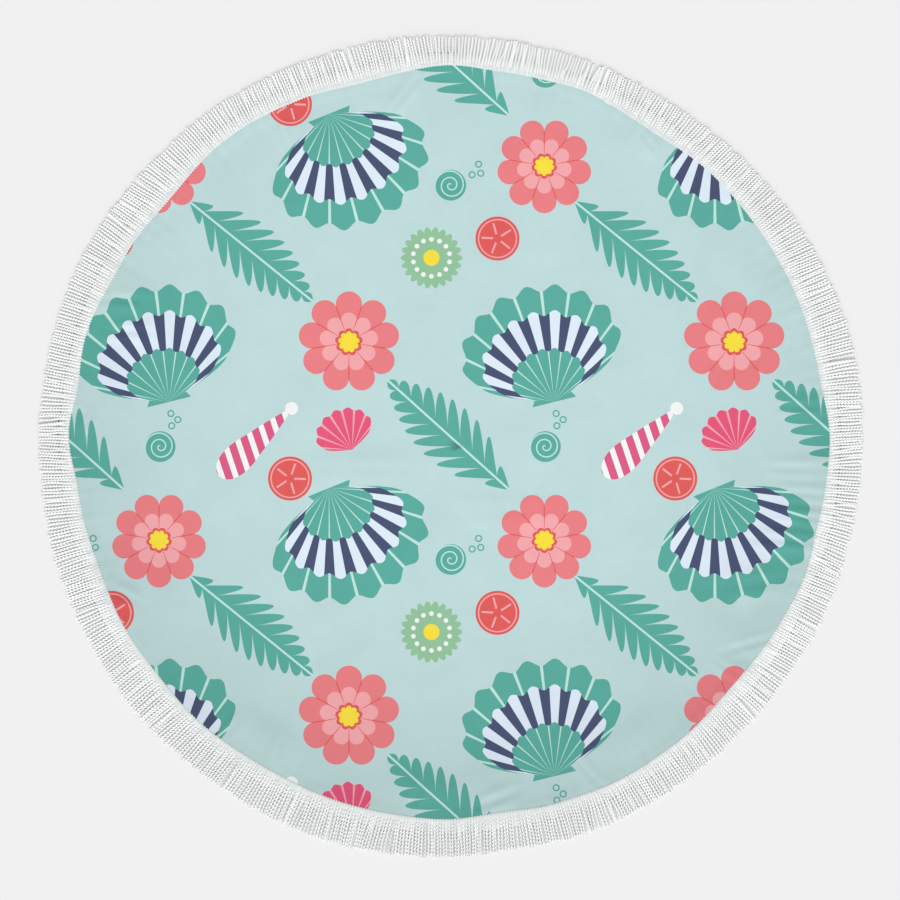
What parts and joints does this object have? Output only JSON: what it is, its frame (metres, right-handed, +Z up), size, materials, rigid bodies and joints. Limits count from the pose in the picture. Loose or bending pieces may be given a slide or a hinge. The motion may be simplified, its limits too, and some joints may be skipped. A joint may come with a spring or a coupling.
{
  "type": "round fringed beach towel",
  "caption": "Round beach towel of thin printed cloth lying flat, with a white heading sewn round its rim and a fringe of twisted yarn.",
  "frame": {"origin": "on the surface that the towel lies on, under the middle of the fringe's outline", "axes": "+Z up, out of the printed side; +Y towards the upper edge of the print; +X to its right"},
  "size_m": [1.4975, 1.4954, 0.0069],
  "materials": {
    "printed_cloth": "matt",
    "fringe_yarn": "matt"
  },
  "bodies": {
    "root": {"printed_cloth": "printed_cloth", "fringe_trim": "fringe_yarn"}
  },
  "joints": []
}
